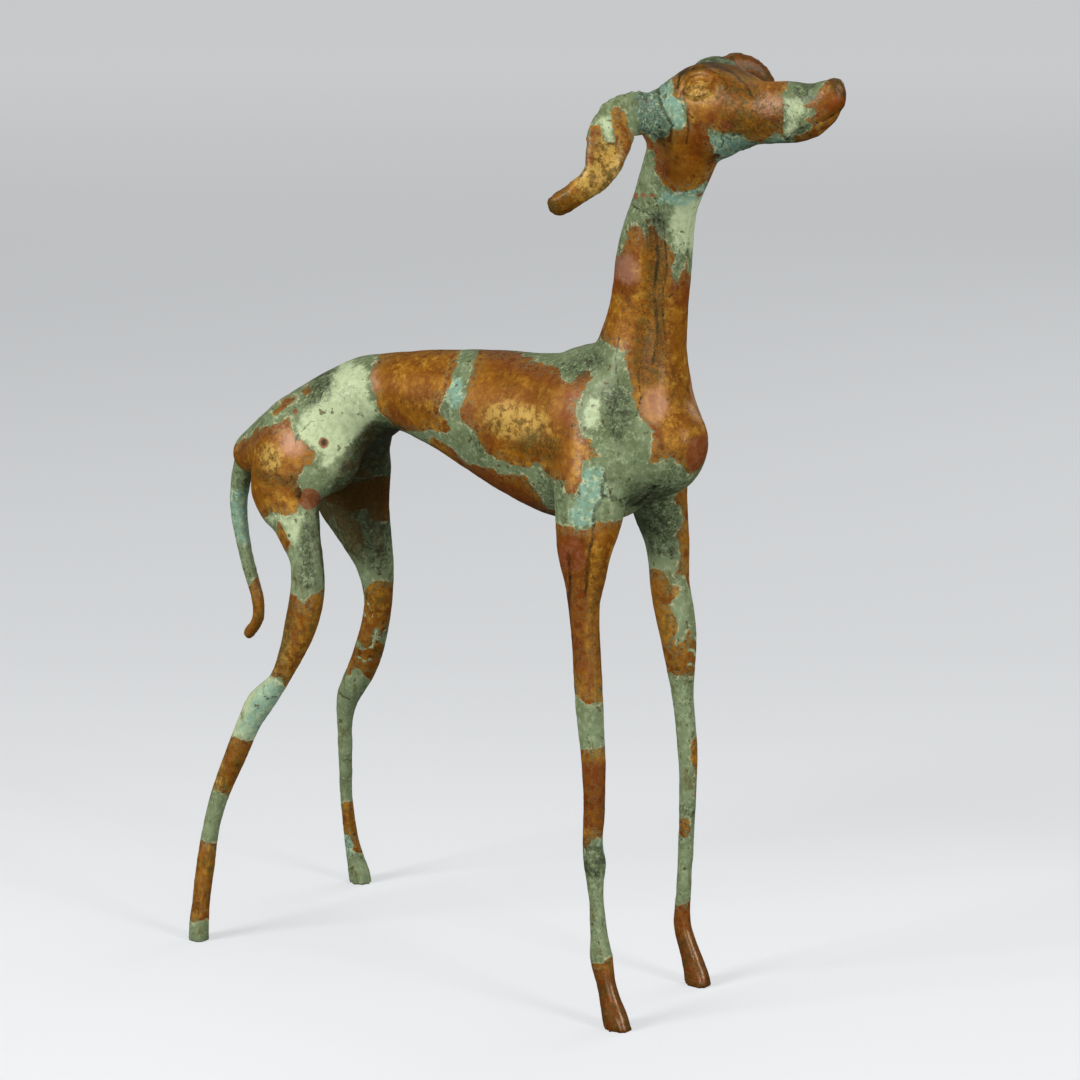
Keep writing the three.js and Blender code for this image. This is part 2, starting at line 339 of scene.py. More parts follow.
ochreOutlines = [
    [(-242, 541), (-225, 556), (-211, 573), (-189, 583), (-176, 591), (-177, 581), (-168, 571),
        (-158, 565), (-147, 556), (-152, 545), (-168, 536), (-167, 523), (-160, 505), (-171, 492),
        (-178, 488), (-196, 489), (-207, 477), (-225, 484), (-262, 500), (-262, 530)],
    [(-191, 480), (-185, 478), (-182, 468), (-176, 458), (-179, 446), (-190, 441), (-192, 466)],
    [(-197, 592), (-179, 606), (-169, 608), (-181, 599), (-191, 590)],
    [(-165, 614), (-156, 620), (-150, 621), (-154, 615), (-161, 610)],
    [(-86, 650), (-89, 641), (-85, 627), (-79, 607), (-71, 596), (-52, 586), (-36, 589), (-18, 597),
        (-4, 596), (-1, 602), (-9, 612), (-14, 622), (-9, 631), (-4, 646), (5, 662), (8, 680),
        (-42, 680), (-70, 668)],
    [(28, 680), (42, 680), (62, 680), (94, 676), (112, 678), (113, 670), (121, 666), (128, 672),
        (140, 679), (143, 674), (134, 658), (128, 648), (129, 632), (134, 621), (143, 615), (151, 601),
        (134, 594), (134, 576), (126, 557), (118, 562), (116, 573), (100, 569), (92, 583), (77, 574),
        (62, 575), (50, 579), (36, 583), (29, 593), (21, 607), (10, 612), (9, 623), (16, 637), (15, 645),
        (21, 661)],
    [(-20, 587), (0, 579), (16, 563), (42, 567), (53, 561), (68, 565), (77, 565), (86, 555), (94, 540),
        (100, 522), (83, 510), (45, 520), (6, 545), (-25, 570)],
    [(219, 733), (262, 734), (262, 689), (262, 670), (280, 646), (280, 618), (262, 590), (247, 578),
        (238, 581), (236, 592), (225, 599), (216, 599), (201, 592), (206, 613), (206, 626), (197, 641),
        (216, 652), (219, 682), (216, 708)],
    [(171, 797), (182, 827), (187, 832), (193, 829), (197, 818), (202, 832), (207, 830), (211, 822),
        (221, 812), (226, 800), (223, 788), (230, 776), (238, 786), (240, 802), (262, 800), (262, 750),
        (262, 716), (223, 700), (189, 701), (150, 712), (150, 780)],
    [(223, 963), (224, 977), (231, 992), (242, 1004), (261, 1010), (290, 1010), (312, 1004), (326, 996),
        (338, 988), (327, 967), (328, 940), (329, 930), (320, 933), (314, 927), (308, 921), (297, 923),
        (287, 931), (271, 928), (263, 933), (257, 931), (259, 919), (266, 900), (263, 890), (257, 877),
        (246, 869), (226, 867), (217, 871), (206, 889), (207, 901), (190, 916), (190, 926), (206, 915),
        (220, 921), (222, 929), (237, 932), (235, 947), (234, 958)],
    [(347, 961), (357, 971), (367, 984), (377, 996), (400, 996), (400, 960), (383, 945), (365, 922),
        (340, 917), (339, 927), (358, 944), (347, 947), (359, 955)],
    [(137, 924), (142, 936), (150, 936), (156, 922), (165, 921), (164, 931), (162, 950), (169, 954),
        (174, 949), (177, 937), (183, 925), (183, 919), (175, 900), (162, 880), (152, 865), (137, 850),
        (117, 835), (95, 838), (90, 855), (99, 872), (120, 890), (133, 897), (135, 910)],
    [(-195, 395), (-179, 403), (-169, 404), (-162, 395), (-154, 405), (-128, 414), (-125, 382),
        (-150, 334), (-178, 292), (-189, 308), (-212, 310), (-200, 352)],
    [(-253, 236), (-235, 236), (-210, 230), (-215, 219), (-243, 159), (-258, 172), (-285, 172),
        (-279, 199)],
    [(-290, 115), (-272, 115), (-250, 100), (-255, 56), (-261, 25), (-310, 21), (-310, 47), (-300, 85)],
    [(-240, 364), (-225, 383), (-210, 383), (-200, 353), (-205, 326), (-234, 300), (-255, 313),
        (-243, 340)],
    [(100, 527), (121, 529), (139, 528), (153, 538), (180, 533), (180, 487), (158, 347), (139, 345),
        (124, 355), (110, 396), (98, 475)],
    [(125, 295), (150, 297), (172, 303), (172, 190), (150, 204), (141, 189), (125, 197)],
    [(130, 70), (154, 69), (178, 82), (204, 9), (200, -10), (141, -15)],
    [(178, 745), (262, 745), (262, 640), (246, 604), (230, 610), (216, 626), (202, 630), (191, 645),
        (183, 668), (177, 700)],
]
rustOutlines = [
    [(28, 680), (49, 682), (68, 682), (80, 682), (94, 676), (112, 678), (113, 670), (103, 661),
        (83, 664), (61, 666), (47, 667)],
    [(119, 660), (128, 672), (141, 679), (143, 674), (134, 658), (128, 648), (129, 632), (125, 620),
        (115, 623), (112, 637), (118, 649)],
    [(9, 620), (13, 629), (21, 629), (23, 616), (16, 611)],
    [(31, 603), (40, 605), (46, 596), (45, 586), (36, 585)],
    [(-9, 581), (0, 579), (16, 563), (42, 567), (68, 550), (94, 536), (98, 522), (68, 520), (22, 540)],
    [(-69, 616), (-47, 602), (-36, 590), (-52, 586), (-66, 597)],
    [(-230, 557), (-204, 579), (-176, 590), (-177, 581), (-189, 575), (-207, 565), (-227, 546),
        (-236, 522), (-237, 541)],
    [(165, 797), (182, 808), (194, 803), (182, 788), (192, 771), (179, 756), (160, 760)],
    [(227, 781), (240, 802), (262, 767), (262, 733), (227, 751), (220, 771)],
    [(189, 923), (201, 923), (214, 903), (221, 892), (219, 876), (211, 880), (205, 891), (207, 901)],
    [(347, 961), (359, 972), (370, 978), (390, 975), (390, 962), (373, 955), (359, 950), (347, 949)],
    [(100, 512), (121, 526), (139, 519), (141, 448), (135, 411), (143, 382), (128, 372), (112, 396),
        (98, 464)],
    [(236, 927), (248, 942), (261, 952), (267, 945), (258, 932), (262, 915), (250, 900), (240, 903)],
    [(-197, 592), (-179, 608), (-160, 625), (-165, 612), (-181, 597)],
    [(128, 280), (150, 285), (170, 280), (170, 210), (128, 212)],
    [(130, 60), (154, 62), (176, 60), (196, 9), (200, -10), (141, -15)],
    [(-275, 70), (-255, 75), (-258, 30), (-275, 30)],
    [(137, 924), (142, 936), (150, 934), (148, 915), (140, 898), (133, 900)],
]
# pale mint patches; the last one is a painted highlight on the shoulder
paleOutlines = [
    [(-148, 606), (-122, 650), (-91, 648), (-91, 636), (-85, 614), (-80, 600), (-102, 571), (-123, 552),
        (-137, 539), (-147, 540), (-140, 556), (-158, 568), (-170, 575), (-162, 590)],
    [(-204, 482), (-189, 490), (-176, 487), (-162, 488), (-164, 468), (-173, 455), (-189, 480),
        (-197, 472)],
    [(-214, 316), (-189, 308), (-176, 299), (-200, 257), (-219, 223), (-235, 236), (-260, 233),
        (-240, 272)],
    [(328, 965), (339, 969), (347, 962), (347, 954), (342, 948), (343, 939), (334, 928), (328, 932),
        (328, 947)],
    [(151, 945), (162, 945), (164, 933), (165, 922), (157, 922), (154, 933), (148, 941)],
    [(224, 858), (250, 864), (251, 848), (243, 818), (236, 802), (226, 806), (220, 834)],
    [(136, 628), (140, 658), (153, 656), (151, 626)],
]
tealOutlines = [
    [(209, 970), (222, 974), (222, 963), (233, 960), (235, 947), (234, 931), (220, 931), (215, 939),
        (211, 948)],
    [(186, 962), (204, 969), (212, 951), (220, 929), (209, 919), (191, 924)],
    [(211, 869), (226, 867), (254, 872), (248, 857), (221, 850), (211, 855)],
    [(-214, 300), (-194, 306), (-182, 296), (-204, 250), (-226, 232), (-238, 246)],
    [(-5, 632), (1, 652), (13, 654), (13, 635), (7, 624), (-2, 622)],
    [(135, 589), (156, 591), (154, 559), (145, 546), (145, 531), (128, 529), (121, 540), (130, 560)],
    [(257, 929), (268, 926), (274, 930), (290, 925), (308, 919), (324, 928), (331, 926), (323, 918),
        (307, 910), (275, 895), (262, 900)],
    [(152, 200), (164, 200), (164, 186), (152, 188)],
    [(-262, 482), (-228, 482), (-228, 424), (-262, 418)],
]
darkOutlines = [  # old stains, soft at their edges; the last one is painted shade under the chest, between the forelegs
    [(208, 845), (216, 845), (218, 780), (214, 730), (205, 730), (204, 800)],
    [(191, 736), (216, 737), (217, 691), (214, 677), (199, 670), (187, 678), (187, 703)],
    [(156, 664), (180, 682), (187, 640), (176, 614), (162, 620)],
    [(-150, 640), (-128, 642), (-133, 612), (-158, 604)],
    [(-165, 480), (-150, 480), (-148, 410), (-168, 410)],
    [(335, 964), (337, 986), (356, 986), (360, 966)],
    [(264, 948), (300, 946), (312, 970), (292, 984), (266, 978)],
    [(230, 984), (240, 1004), (300, 1002), (318, 988), (292, 979), (262, 990), (240, 986)],
    [(196, 830), (214, 835), (216, 790), (210, 745), (200, 745), (198, 790)],
    [(186, 960), (206, 967), (214, 945), (222, 925), (209, 917), (191, 924)],
    [(132, 195), (168, 195), (168, 165), (132, 160)],
    [(90, 862), (104, 862), (108, 838), (92, 836)],
    [(108, 678), (140, 690), (150, 700), (160, 690), (130, 668)],
    [(-185, 530), (-165, 532), (-165, 515), (-190, 518), (-215, 522), (-215, 532)],
    [(-180, 395), (-168, 395), (-190, 320), (-198, 325)],
    [(60, 594), (84, 616), (114, 610), (112, 590), (86, 586)],
    [(189, 972), (203, 973), (207, 955), (203, 940), (192, 938), (189, 955)],
    [(86, 860), (104, 862), (112, 846), (104, 832), (86, 836)],
    [(276, 924), (326, 934), (338, 950), (326, 966), (300, 962), (268, 952)],
    [(172, 552), (214, 572), (234, 560), (222, 538), (192, 532)],
]
inkLines = [  # thin dark lines, painted only: path, half width
    ([(227, 970), (230, 982), (241, 989), (252, 993), (262, 993), (273, 990), (282, 986), (292, 977),
        (299, 966)], 1.7),
    ([(-208, 560), (-198, 551), (-190, 541), (-192, 531), (-180, 523), (-172, 527)], 1.3),
    ([(-212, 542), (-202, 534), (-190, 529), (-178, 533), (-168, 526)], 1.2),
    ([(-203, 523), (-190, 516), (-181, 519), (-174, 512)], 1.2),
    ([(-173, 558), (-167, 574), (-153, 587), (-138, 590)], 1.2),
    ([(-150, 630), (-141, 618), (-146, 606), (-136, 600)], 1.2),
    ([(196, 700), (190, 680), (194, 660), (188, 640)], 1.6),
    ([(172, 716), (168, 690), (172, 668), (164, 640), (168, 615)], 1.6),
    ([(205, 842), (210, 802), (206, 762), (211, 722), (205, 692)], 2.2),
    ([(215, 836), (219, 792), (214, 752), (218, 716)], 1.5),
    ([(121, 500), (123, 470), (121, 440), (124, 410), (122, 380)], 2.0),
    ([(229, 962), (234, 950), (242, 943)], 1.2),
    ([(333, 927), (341, 933), (350, 940)], 2.6),
]
farPaleLines = [  # thin pale runs over the ochre of the left legs
    ([(248, 398), (254, 392), (252, 384), (259, 378), (264, 384)], 1.7),
    ([(246, 372), (253, 370), (256, 362), (264, 360)], 1.7),
    ([(248, 356), (256, 352), (262, 346)], 1.5),
    ([(254, 404), (262, 396), (266, 388)], 1.6),
    ([(-108, 376), (-105, 362), (-109, 348), (-102, 338)], 1.8),
    ([(-117, 307), (-108, 300), (-96, 303), (-91, 326)], 2.2),
    ([(-114, 290), (-106, 285), (-98, 288)], 1.8),
    ([(-100, 356), (-94, 344), (-98, 334)], 1.5),
    ([(-96, 318), (-88, 314), (-80, 306)], 1.4),
]
# painted shade below the flank's fold
flankShade = [[(-86, 592), (-117, 553), (-133, 512), (-139, 478), (-60, 470), (-55, 592)]]
# gold patches; the one at 68, 620 is a painted highlight on the ribs
goldSpots = [
    (150, 893, 24, 36), (248, 966, 13, 9), (-198, 546, 14, 15), (68, 620, 36, 20), (-188, 352, 9, 40),
    (-265, 200, 9, 34),
]
farOchreOutlines = [  # on the left legs and ear, in their own place
    [(236, 537), (246, 544), (262, 531), (262, 438), (247, 432), (243, 451), (232, 448), (239, 475),
        (234, 494), (242, 508)],
    [(200, 453), (221, 455), (228, 441), (239, 437), (228, 419), (236, 401), (232, 374), (243, 382),
        (254, 405), (270, 375), (268, 342), (240, 343), (220, 342), (202, 391)],
    [(252, 272), (270, 277), (270, 208), (255, 208), (258, 227), (252, 251)],
    [(228, 84), (262, 95), (272, 57), (290, 14), (280, -11), (238, -14), (226, 44)],
    [(-118, 358), (-91, 385), (-60, 382), (-60, 334), (-83, 322), (-80, 289), (-95, 252), (-113, 275),
        (-125, 263), (-138, 272), (-118, 309)],
    [(-146, 94), (-110, 107), (-108, 35), (-121, 39), (-128, 61), (-146, 60)],
    [(-150, 481), (-131, 493), (-107, 505), (-89, 510), (-60, 509), (-60, 454), (-89, 455), (-101, 470),
        (-116, 465), (-130, 473), (-142, 473)],
]
farTealOutlines = [[(-145, 58), (-126, 61), (-114, 39), (-140, 34)]]
# painted shade where the left legs meet the body, and on the left hind leg
farDarkOutlines = [
    [(-160, 475), (-160, 500), (-115, 540), (-82, 570), (-60, 560), (-60, 430), (-80, 430), (-100, 450),
        (-130, 460)],
    [(190, 560), (240, 545), (236, 470), (205, 470)],
    [(-100, 455), (-80, 455), (-82, 395), (-98, 400)],
]
brickSpots = [  # across, up, half sizes
    (-139, 567, 5.5, 5.5), (-171, 596, 3.2, 3.2), (-155, 506, 12, 12), (250, 600, 11, 19),
    (125, 500, 13, 17), (319, 946, 5, 4.5), (275, 938, 7, 5), (266, 905, 4, 3), (188, 858, 2, 3),
    (195, 861, 3, 2), (204, 862, 3.2, 2), (251, 862, 4, 2),
]
farOchreSpots = [(245, 175, 7, 10)]
pinkSpots = [
    (313, 960, 13, 13), (206, 651, 13, 17), (179, 786, 13, 15), (-172, 564, 15, 13), (-86, 634, 6, 14),
]
pitSpots = [(-167, 512, 3, 5), (-139, 567, 2.2, 2.2), (266, 904, 2, 2)]


def deepest(across, up, outlines, spots=()):  # how far inside the nearest outline, thousandths
    depth = np.full(len(across), -60.0)
    for outline in outlines:
        a, b = np.min(outline, 0) - 40, np.max(outline, 0) + 40
        close = (across > a[0]) & (across < b[0]) & (up > a[1]) & (up < b[1])
        if close.any():
            depth[close] = np.maximum(depth[close], outlineDepth(across[close], up[close], outline))
    for cx, cz, rx, rz in spots:
        scaled = np.hypot((across - cx) / rx, (up - cz) / rz)
        depth = np.maximum(depth, np.maximum((1 - scaled) * min(rx, rz), -60))
    return depth


def store(mesh, name, values):
    layer = mesh.attributes.new(name, "FLOAT", "POINT")
    layer.data.foreach_set("value", values.astype(np.float32))


def paintPatina(mesh, points):
    shares = toShares(points)
    x, y, z = shares.T
    farSide = ramp(y, 4, 30)
    wander = np.stack([lumpNoise(shares, 70, 31), lumpNoise(shares, 70, 37)], 1) * 17 * farSide[:, None]
    across, up = quarterAcross(shares) + wander[:, 0], z + wander[:, 1]
    straight = trueAcross(shares)
    farLimb = ramp(y, 16, 34) * np.maximum(1 - ramp(z, 520, 575), ramp(z, 890, 905) * ramp(y, 34, 46))
    near = Neighbours(mesh)
    farLimb = near.smooth(farLimb, 4)

    def field(trunkOutlines, farOutlines=(), spots=(), farSpots=()):
        drawnOnce = deepest(across, up, trunkOutlines, spots)
        return drawnOnce + farLimb * (deepest(straight, z, farOutlines, farSpots) - drawnOnce)

    farEar = ramp(y, 38, 52) * ramp(z, 890, 905)
    ridge = np.exp(-np.hypot((y - 14) / 8, (x - 318) / 26) ** 4) * ramp(z, 975, 985)  # top of the far brow
    tailTop = ramp(-x, 280, 290) * ramp(z, 392, 400) * ramp(22 - np.abs(y), 0, 5)
    runs = np.zeros(len(points))
    for path, width in farPaleLines:
        runs = np.maximum(runs, fade(strokeDistance(straight, z, path), width) * ramp(y, 16, 26))
    ochre = np.maximum(field(ochreOutlines, farOchreOutlines, [], farOchreSpots), farEar * 60 - 40)
    store(mesh, "ochre", ochre - 70 * np.maximum(ridge, tailTop) - 26 * runs)
    store(mesh, "rust", np.maximum(field(rustOutlines, farOchreOutlines[3:4]), farEar * 62 - 45))
    paleParts = np.maximum(np.maximum(0.42 * ridge, 0.35 * tailTop), 0.6 * runs)
    store(mesh, "pale", np.maximum(field(paleOutlines), 40 * paleParts - 20))
    store(mesh, "teal", field(tealOutlines, farTealOutlines))
    inward = -readNormals(mesh)[:, 1] * np.sign(y)
    # painted shade on the inner sides of the thighs, where they face the other leg
    paintedThighShade = ramp(np.abs(y), 3, 12) * ramp(inward, 0.02, 0.45) * ramp(z, 385, 450)
    paintedThighShade *= (1 - ramp(z, 615, 650)) * ramp(-x, 40, 90)
    # painted shade below the flank's fold, joined to the thigh shade
    paintedFlankShade = 0.85 * ramp(deepest(across, up, flankShade), -4, 7)
    paintedThighShade = near.smooth(np.maximum(paintedThighShade, paintedFlankShade), 6)
    paws = ramp(x, 150, 200) * (1 - ramp(z, 40, 85))
    earTip = closeTo(shares, earTipPlace, 20)
    noseTip = closeTo(shares, noseTipPlace, 14)
    # darkening amount: painted shade on the thighs and flank, and the darker colour of the paws, ear tip,
    # far ear and nose tip
    wearAndShade = np.max([paintedThighShade * 36, paws * 11.5, earTip * 22, farEar * 17, noseTip * 22], 0) - 10
    store(mesh, "stainAndPaintedShade", np.maximum(field(darkOutlines, farDarkOutlines), wearAndShade))
    # painted thigh and flank shade, with the dark nose pad
    store(mesh, "shadeAndNosePad", np.maximum(paintedThighShade, 0.8 * ramp(noseTip, 0.2, 0.7)))
    store(mesh, "polish", paws)
    store(mesh, "gold", field([], [], goldSpots))
    store(mesh, "brick", field([], [], brickSpots))
    store(mesh, "pink", field([], [], pinkSpots))
    lines = [strokeDistance(across, up, path) / width + 60 * (y > 8) for path, width in creases + inkLines]
    offFace = 60 * (np.abs(y) < 14)
    lines += [np.abs(strokeDistance(x, z, line) - 2.6) / 1.1 + 0.25 + offFace for line in browLines]
    lines += [eyeShape(x, z)[2] / 1.3 + 0.25 + offFace]
    lines += [strokeDistance(x, z, mouthLine) / 1.3 + 60 * (x < 418)]
    lines += [-0.5 - deepest(across, up, [], pitSpots)]
    store(mesh, "crack", np.minimum(np.min(lines, 0), 60))
    hollow = near.smooth(points, 14) - points  # where the surface folds inwards
    depth = (hollow * readNormals(mesh)).sum(1) * 1000
    store(mesh, "hollow", near.smooth(depth, 2))


paintPatina(bronzeMesh, points)
print("patina drawn")

# materials


class Socket:  # one node output; expressions on it add Math nodes
    def __init__(self, maker, output):
        self.maker, self.output = maker, output

    def maths(self, operation, other, swap=False):
        pair = (other, self) if swap else (self, other)
        return self.maker.node("ShaderNodeMath", {"operation": operation}, {0: pair[0], 1: pair[1]})

    def __add__(self, other):
        return self.maths("ADD", other)

    def __radd__(self, other):
        return self.maths("ADD", other, True)

    def __sub__(self, other):
        return self.maths("SUBTRACT", other)

    def __rsub__(self, other):
        return self.maths("SUBTRACT", other, True)

    def __mul__(self, other):
        return self.maths("MULTIPLY", other)

    def __rmul__(self, other):
        return self.maths("MULTIPLY", other, True)


class Finish:  # builds the nodes of a material or of the sky
    def __init__(self, owner, shader="ShaderNodeBsdfPrincipled", output="ShaderNodeOutputMaterial"):
        self.owner = owner
        owner.use_nodes = True
        self.tree = owner.node_tree
        self.tree.nodes.clear()
        self.shader = self.tree.nodes.new(shader)
        out = self.tree.nodes.new(output)
        self.tree.links.new(self.shader.outputs[0], out.inputs[0])

    def feed(self, socket, value):
        if isinstance(value, Socket):
            self.tree.links.new(value.output, socket)
        elif isinstance(value, (tuple, list)) and len(value) == 3 and socket.type == "RGBA":
            socket.default_value = (*value, 1)
        else:
            socket.default_value = value

    def node(self, kind, settings=None, values=None, output=0):
        made = self.tree.nodes.new(kind)
        for name, value in (settings or {}).items():
            setattr(made, name, value)
        for name, value in (values or {}).items():
            self.feed(made.inputs[name], value)
        return Socket(self, made.outputs[output])

    def drawn(self, name):
        return self.node("ShaderNodeAttribute", {"attribute_name": name}, output="Fac")

    def axis(self, vector, which):  # 0, 1 or 2 for X, Y or Z
        return self.node("ShaderNodeSeparateXYZ", None, {0: vector}, which)

    def noise(self, place, scale, detail, rough):
        values = {"Vector": place, "Scale": scale, "Detail": detail, "Roughness": rough}
        return self.node("ShaderNodeTexNoise", None, values)

    def clamped(self, value, low, high):  # 0 at low, 1 at high
        values = {0: value, 1: low, 2: high, 3: 0.0, 4: 1.0}
        return self.node("ShaderNodeMapRange", {"interpolation_type": "SMOOTHSTEP"}, values)

    def blend(self, amount, under, over):
        return self.node("ShaderNodeMix", {"data_type": "RGBA"}, {0: amount, 6: under, 7: over}, 2)

    def surface(self, **values):
        for name, value in values.items():
            self.feed(self.shader.inputs[name.replace("_", " ")], value)


patinaLook = {  # tones as light reflected, red green blue
    "sage": (0.156, 0.205, 0.104),
    "deepGreen": (0.108, 0.142, 0.064),
    "mint": (0.45, 0.53, 0.31),
    "turquoise": (0.175, 0.32, 0.245),
    "ochre": (0.28, 0.108, 0.005),
    "gold": (0.41, 0.205, 0.022),
    "straw": (0.45, 0.29, 0.065),
    "amber": (0.180, 0.054, 0.002),
    "brown": (0.062, 0.031, 0.004),
    "olive": (0.105, 0.078, 0.012),
    "rust": (0.170, 0.038, 0.003),
    "brick": (0.23, 0.070, 0.030),
    "pink": (0.46, 0.24, 0.17),
    "cream": (0.60, 0.52, 0.30),
    "umber": (0.022, 0.014, 0.003),
    "sootAndShade": (0.052, 0.034, 0.006),
    "blackGreen": (0.012, 0.018, 0.009),
    "ragged": 7.0,  # how far the patches' edges wander, thousandths of the height
    "noises": {  # scale, detail, roughness
        "broad": (24, 2, 0.55),
        "middle": (62, 4, 0.6),
        "crawl": (135, 6, 0.72),
        "small": (200, 4, 0.65),
        "fleck": (300, 4, 0.62),
        "grain": (640, 3, 0.6),
        "cloud": (15, 3, 0.6),
        "dots": (135, 2, 0.5),
        "streak": (120, 4, 0.6),
    },
}


def waxedPatina():
    finish = Finish(bpy.data.materials.new("waxedPatina"))
    place = finish.node("ShaderNodeTexCoord", output="Object")
    stretched = finish.node("ShaderNodeVectorMath", {"operation": "MULTIPLY"}, {0: place, 1: (1, 1, 0.3)})
    noises = {}
    for name, values in patinaLook["noises"].items():
        noises[name] = finish.noise(stretched if name == "streak" else place, *values)
    broad, middle, crawl, small, fleck, grain, cloud, dots, streak = noises.values()
    wander = ((middle - 0.5) * 1.5 + (small - 0.5) * 1.5 + (crawl - 0.5)) * patinaLook["ragged"]
    clustered = finish.clamped(broad, 0.46, 0.60)
    limb = finish.clamped(finish.axis(place, 2), 0.47, 0.40)

    # verdigris
    tone = finish.blend(finish.clamped(middle, 0.36, 0.60), patinaLook["deepGreen"], patinaLook["sage"])
    tone = finish.blend(finish.clamped(small, 0.46, 0.68) * 0.34, tone, patinaLook["mint"])
    pale = finish.clamped(finish.drawn("pale") + wander, -3.0, 5.0)
    tone = finish.blend(pale * (0.66 + 0.28 * finish.clamped(small, 0.36, 0.58)), tone, patinaLook["mint"])
    teal = finish.clamped(finish.drawn("teal") + wander * 1.3, -3.0, 3.5)
    bluer = teal * (0.35 + 0.6 * finish.clamped(crawl, 0.38, 0.56))
    tone = finish.blend(bluer, tone, patinaLook["turquoise"])
    tone = finish.blend(teal * finish.clamped(small, 0.50, 0.64) * 0.6, tone, patinaLook["mint"])
    deeper = finish.clamped(crawl, 0.42, 0.34) * (1 - 0.7 * pale)
    tone = finish.blend(deeper * 0.4, tone, patinaLook["deepGreen"])
    specks = finish.clamped(fleck, 0.56, 0.64) * (0.15 + 0.85 * clustered)
    tone = finish.blend(specks * 0.75 * (1 - 0.55 * pale), tone, patinaLook["blackGreen"])
    tone = finish.blend(limb * 0.10, tone, patinaLook["mint"])
    tone = finish.blend(finish.clamped(streak, 0.57, 0.66) * limb * 0.6, tone, patinaLook["olive"])
    tone = finish.blend(finish.clamped(dots, 0.655, 0.70) * 0.75, tone, patinaLook["brown"])

    # ochre over the verdigris, with a broken cream rim
    ochreDepth = finish.drawn("ochre") + wander
    ochre = finish.clamped(ochreDepth, -0.5, 0.7)
    rim = finish.clamped(ochreDepth, -2.4, -0.6) * (1 - ochre)
    tone = finish.blend(rim * 0.5 * finish.clamped(small, 0.46, 0.58), tone, patinaLook["cream"])
    warm = finish.blend(finish.clamped(middle, 0.38, 0.60), patinaLook["amber"], patinaLook["ochre"])
    warm = finish.blend(finish.clamped(cloud, 0.54, 0.40) * 0.6, warm, patinaLook["amber"])
    golden = finish.clamped(crawl, 0.475, 0.61) * (0.35 + 0.55 * finish.clamped(cloud, 0.42, 0.58))
    warm = finish.blend(golden, warm, patinaLook["gold"])
    nearEdge = finish.clamped(ochreDepth, 8.0, 1.0) * finish.clamped(crawl, 0.56, 0.44)
    warm = finish.blend(nearEdge * 0.7, warm, patinaLook["rust"])
    warm = finish.blend(finish.clamped(small, 0.50, 0.38) * 0.55, warm, patinaLook["amber"])
    # gold patches, one of them a painted highlight on the ribs
    goldAndHighlight = finish.clamped(finish.drawn("gold") + wander, -6.0, 8.0)
    warm = finish.blend(goldAndHighlight * (0.15 + 0.65 * finish.clamped(crawl, 0.43, 0.56)), warm, patinaLook["straw"])
    warm = finish.blend(goldAndHighlight * finish.clamped(crawl, 0.50, 0.42) * 0.75, warm, patinaLook["olive"])
    warm = finish.blend(finish.clamped(streak, 0.54, 0.66) * limb * 0.7, warm, patinaLook["olive"])
    warm = finish.blend(finish.clamped(streak, 0.45, 0.34) * limb * 0.6, warm, patinaLook["rust"])
    rust = finish.clamped(finish.drawn("rust") + wander, -2.5, 3.5)
    warm = finish.blend(rust * (0.6 + 0.35 * finish.clamped(crawl, 0.60, 0.42)), warm, patinaLook["rust"])
    browner = finish.clamped(crawl, 0.43, 0.34) * (0.35 + 0.45 * clustered)
    warm = finish.blend(browner, warm, patinaLook["brown"])
    freckles = finish.clamped(fleck, 0.58, 0.68) * (0.1 + 0.7 * clustered)
    warm = finish.blend(freckles, warm, patinaLook["umber"])
    pink = finish.clamped(finish.drawn("pink") + wander, -5.0, 6.0)
    warm = finish.blend(pink * 0.38, warm, patinaLook["pink"])
    vein = (crawl - 0.5) * (crawl - 0.5) + (fleck - 0.5) * 0.0008
    vein = finish.clamped(vein, 0.00030, 0.00008) * (finish.clamped(ochreDepth, 13.0, 3.0) + limb * 0.45)
    warm = finish.blend(vein * 0.75, warm, patinaLook["sage"])
    tone = finish.blend(ochre, tone, warm)
    brickDepth = finish.drawn("brick") + (small - 0.5) * 4.5 + (crawl - 0.5) * 4.0
    brick = finish.clamped(brickDepth, -0.8, 1.0)
    redder = finish.blend(finish.clamped(small, 0.38, 0.62), patinaLook["rust"], patinaLook["brick"])
    tone = finish.blend(brick * 0.88, tone, redder)

    # old stains in crisp flakes and veins, painted shade on the inner thighs, below the flank and under the
    # chest, and the dark in the creases
    wearAndShade = finish.clamped(finish.drawn("stainAndPaintedShade") + wander * 1.4, -6.0, 6.0)
    flake = finish.clamped(crawl + (fleck - 0.5) * 0.6, 0.475, 0.525)
    # dark tone of old stains and of the painted shade
    tarnishAndShade = finish.blend(ochre, patinaLook["blackGreen"], patinaLook["sootAndShade"])
    tone = finish.blend(wearAndShade * (0.16 + (0.5 + 0.08 * ochre) * flake), tone, tarnishAndShade)
    # painted shade on the inner thighs and below the flank, and the dark nose pad
    tone = finish.blend(finish.drawn("shadeAndNosePad") * 0.45, tone, patinaLook["blackGreen"])
    ink = finish.blend(ochre, patinaLook["blackGreen"], patinaLook["umber"])
    thread = (small - 0.5) * (small - 0.5) + (fleck - 0.5) * 0.0012
    thread = finish.clamped(thread, 0.00042, 0.00010) * finish.clamped(wearAndShade + clustered * 0.7, 0.35, 0.9)
    tone = finish.blend(thread * 0.75, tone, ink)
